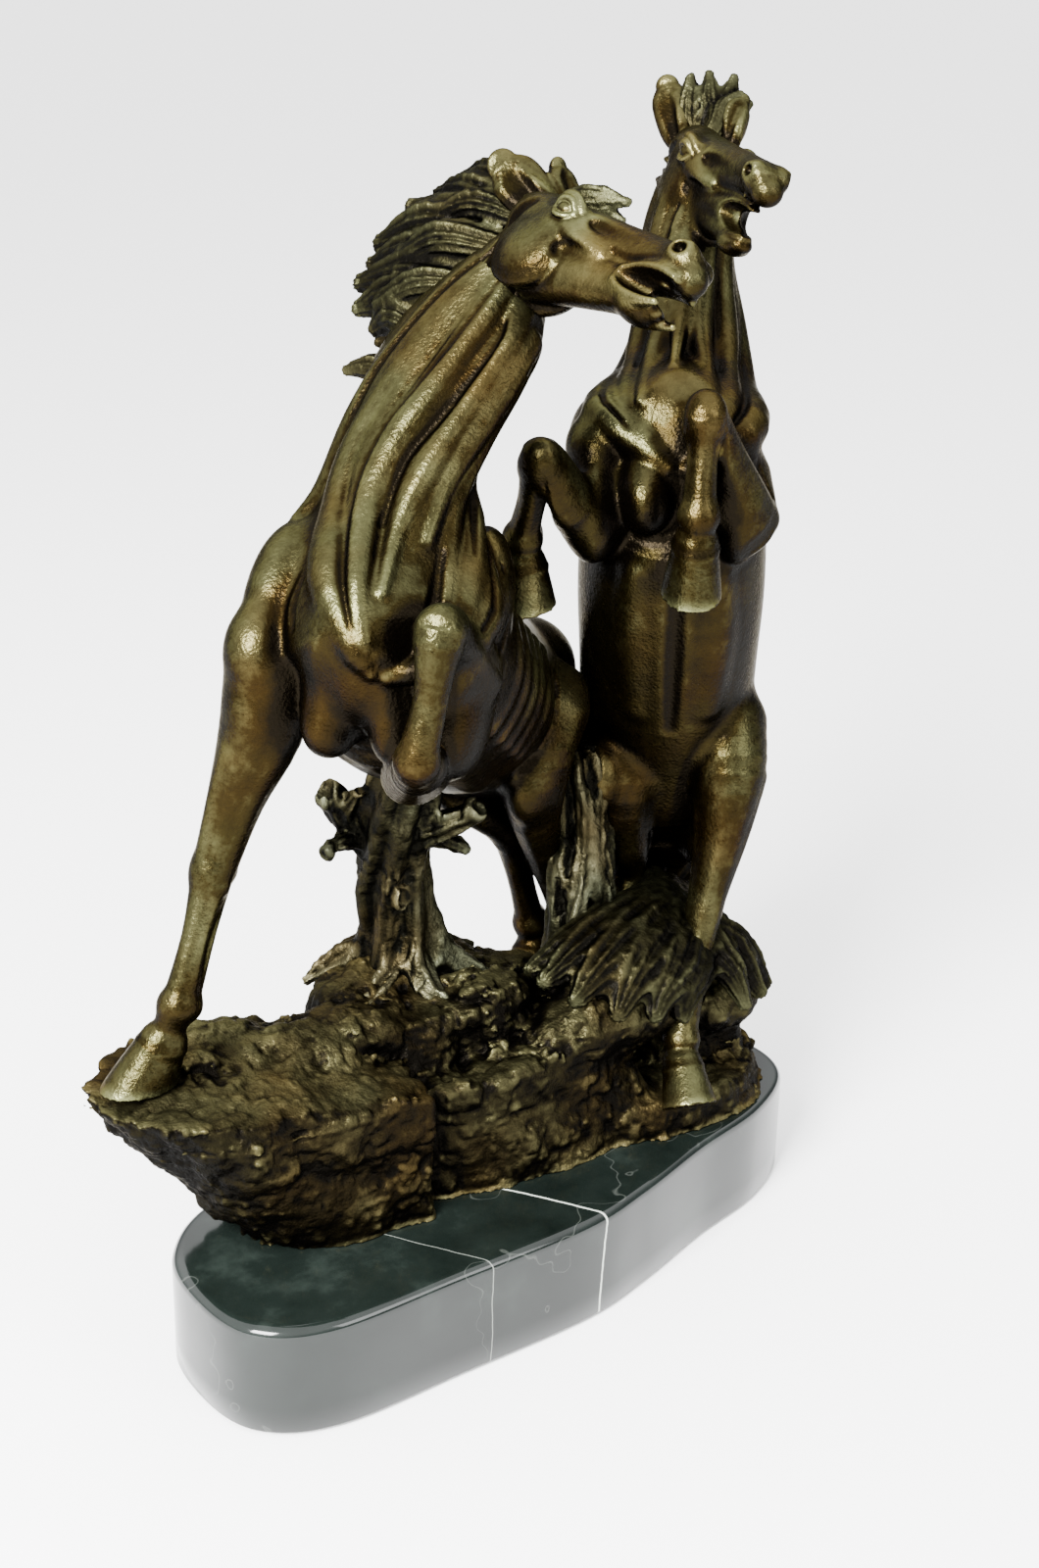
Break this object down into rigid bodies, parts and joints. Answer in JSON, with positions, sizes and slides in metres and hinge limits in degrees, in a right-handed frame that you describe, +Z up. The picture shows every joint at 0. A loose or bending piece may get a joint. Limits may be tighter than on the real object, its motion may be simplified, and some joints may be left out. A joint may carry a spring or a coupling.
{
  "type": "bronze horse statue",
  "caption": "Cast bronze group of a leaping and a rearing horse on a craggy rock with a tree stump, bolted to a polished dark marble plinth.",
  "frame": {"origin": "middle of the underside of the felt pad that the plinth rests on", "axes": "+X along the plinth towards the rearing horse, +Y towards the back of the group, +Z up"},
  "size_m": [0.3236, 0.2074, 0.4449],
  "materials": {
    "felt": "matte",
    "marble": "polished",
    "steel": "satin",
    "bronze_skin": "satin",
    "bronze_hair": "satin",
    "bronze_rock": "satin",
    "bronze_bark": "satin"
  },
  "bodies": {
    "root": {"felt_pad": "felt", "marble_plinth": "marble", "base_studs": "steel", "base_washers": "steel", "base_nuts": "steel", "rock_casting": "bronze_rock", "stump_casting": "bronze_bark", "back_trunk_casting": "bronze_bark", "leaping_body": "bronze_skin", "leaping_head": "bronze_skin", "leaping_mane": "bronze_hair", "leaping_tail": "bronze_hair", "leaping_foreleg_right": "bronze_skin", "leaping_foreleg_left": "bronze_skin", "leaping_hindleg_right": "bronze_skin", "leaping_hindleg_left": "bronze_skin", "rearing_body": "bronze_skin", "rearing_head": "bronze_skin", "rearing_mane": "bronze_hair", "rearing_tail": "bronze_hair", "rearing_foreleg_right": "bronze_skin", "rearing_foreleg_left": "bronze_skin", "rearing_hindleg_right": "bronze_skin", "rearing_hindleg_left": "bronze_skin"}
  },
  "joints": []
}
